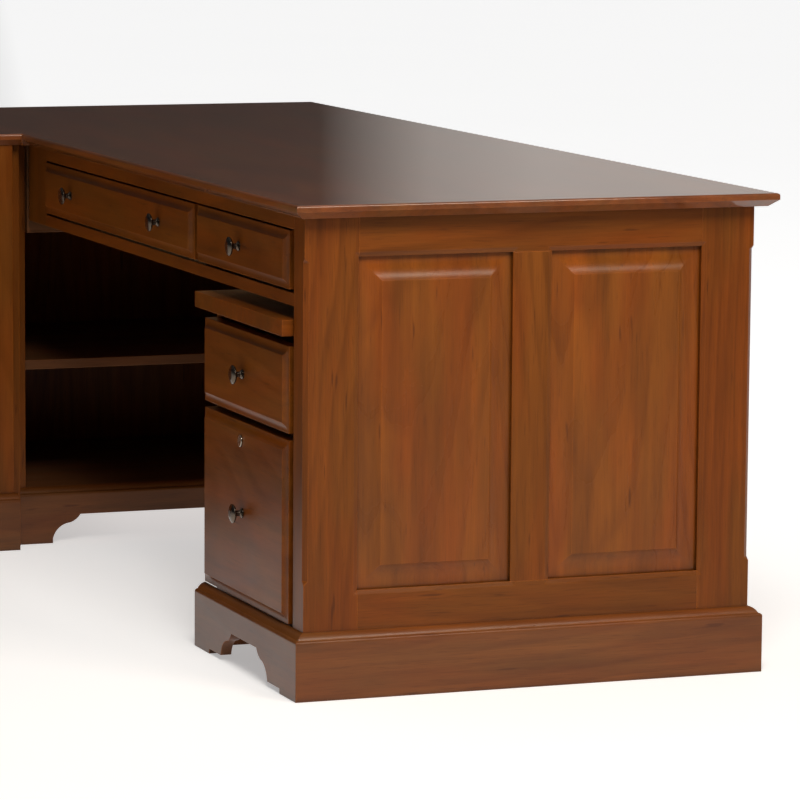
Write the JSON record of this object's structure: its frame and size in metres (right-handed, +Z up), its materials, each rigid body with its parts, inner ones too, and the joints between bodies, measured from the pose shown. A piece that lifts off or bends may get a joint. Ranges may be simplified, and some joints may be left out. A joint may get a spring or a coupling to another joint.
{
  "type": "corner desk",
  "caption": "L-shaped panelled corner desk with drawers beside and over a kneehole, a lockable file drawer, an open corner bookcase and a two-door return wing.",
  "frame": {"origin": "middle of the footprint of the whole desk, on the floor", "axes": "+X from the drawer fronts to the back of the main wing, +Y along the main wing from its panelled free end to the corner, +Z up; the return wing runs towards -X"},
  "size_m": [1.9, 2.183, 0.762],
  "materials": {
    "desktop_wood": "polished clear lacquer over brown stain",
    "frame_wood": "satin lacquer over brown stain",
    "panel_wood": "satin lacquer over brown stain",
    "plinth_wood": "satin lacquer over brown stain",
    "inner_wood": "satin lacquer over brown stain",
    "drawer_wood": "clear sealed",
    "knob_metal": "satin nickel",
    "lock_metal": "satin nickel",
    "slide_steel": "zinc plated",
    "hinge_brass": "aged brass"
  },
  "bodies": {
    "carcass": {"apron_rail": "frame_wood", "back_frame": "frame_wood", "back_panels": "panel_wood", "bookcase_bottom": "inner_wood", "bookcase_shelf": "inner_wood", "bookcase_side_left": "frame_wood", "bookcase_side_right": "inner_wood", "corner_stile": "frame_wood", "desktop_main": "desktop_wood", "desktop_return": "desktop_wood", "drawer_row_partitions": "inner_wood", "end_bottom_rail": "frame_wood", "end_mullion": "frame_wood", "end_panels": "panel_wood", "end_top_rail": "frame_wood", "far_end_panel": "frame_wood", "front_top_rail": "frame_wood", "header_panel": "inner_wood", "hinge_leaves_fixed": "hinge_brass", "pedestal_bottom": "inner_wood", "pedestal_inner_side": "frame_wood", "pedestal_outer_side": "inner_wood", "pedestal_rail": "frame_wood", "pedestal_top": "frame_wood", "plinth_back": "plinth_wood", "plinth_bookcase": "plinth_wood", "plinth_end": "plinth_wood", "plinth_front": "plinth_wood", "plinth_return": "plinth_wood", "plinth_return_end": "plinth_wood", "post_back": "frame_wood", "post_front": "frame_wood", "return_back": "inner_wood", "return_bottom": "inner_wood", "return_end_side": "frame_wood", "return_face_frame": "frame_wood", "slide_tracks": "slide_steel"},
    "short_drawer": {"short_drawer_front": "frame_wood", "short_drawer_box": "drawer_wood", "short_drawer_knob": "knob_metal", "short_slides": "slide_steel"},
    "long_drawer": {"long_drawer_front": "frame_wood", "long_drawer_box": "drawer_wood", "long_drawer_knobs": "knob_metal", "long_slides": "slide_steel"},
    "box_drawer": {"box_drawer_front": "frame_wood", "box_drawer_box": "drawer_wood", "box_drawer_knob": "knob_metal", "box_slides": "slide_steel"},
    "file_drawer": {"file_drawer_front": "frame_wood", "file_drawer_box": "drawer_wood", "file_drawer_knob": "knob_metal", "file_slides": "slide_steel"},
    "lock": {"lock_plug": "lock_metal"},
    "left_door": {"left_door": "frame_wood", "left_door_knob": "knob_metal", "left_door_hinges": "hinge_brass"},
    "right_door": {"right_door": "frame_wood", "right_door_knob": "knob_metal", "right_door_hinges": "hinge_brass"}
  },
  "joints": [
    {"name": "short_slide", "type": "slide", "parent": "carcass", "child": "short_drawer", "axis": [-1, 0, 0], "range_m": [0, 0.38]},
    {"name": "long_slide", "type": "slide", "parent": "carcass", "child": "long_drawer", "axis": [-1, 0, 0], "range_m": [0, 0.38]},
    {"name": "box_slide", "type": "slide", "parent": "carcass", "child": "box_drawer", "axis": [-1, 0, 0], "range_m": [0, 0.38]},
    {"name": "file_slide", "type": "slide", "parent": "carcass", "child": "file_drawer", "axis": [-1, 0, 0], "range_m": [0, 0.38]},
    {"name": "file_drawer_lock", "type": "hinge", "parent": "file_drawer", "child": "lock", "pos_m": [0.175, -0.7775, 0.363], "axis": [1, 0, 0], "range_deg": [0, 90]},
    {"name": "left_door_hinge", "type": "hinge", "parent": "carcass", "child": "left_door", "pos_m": [-0.864, 0.4205, 0.42], "axis": [0, 0, -1], "range_deg": [0, 100]},
    {"name": "right_door_hinge", "type": "hinge", "parent": "carcass", "child": "right_door", "pos_m": [-0.368, 0.4205, 0.42], "axis": [0, 0, -1], "range_deg": [0, 100]}
  ]
}
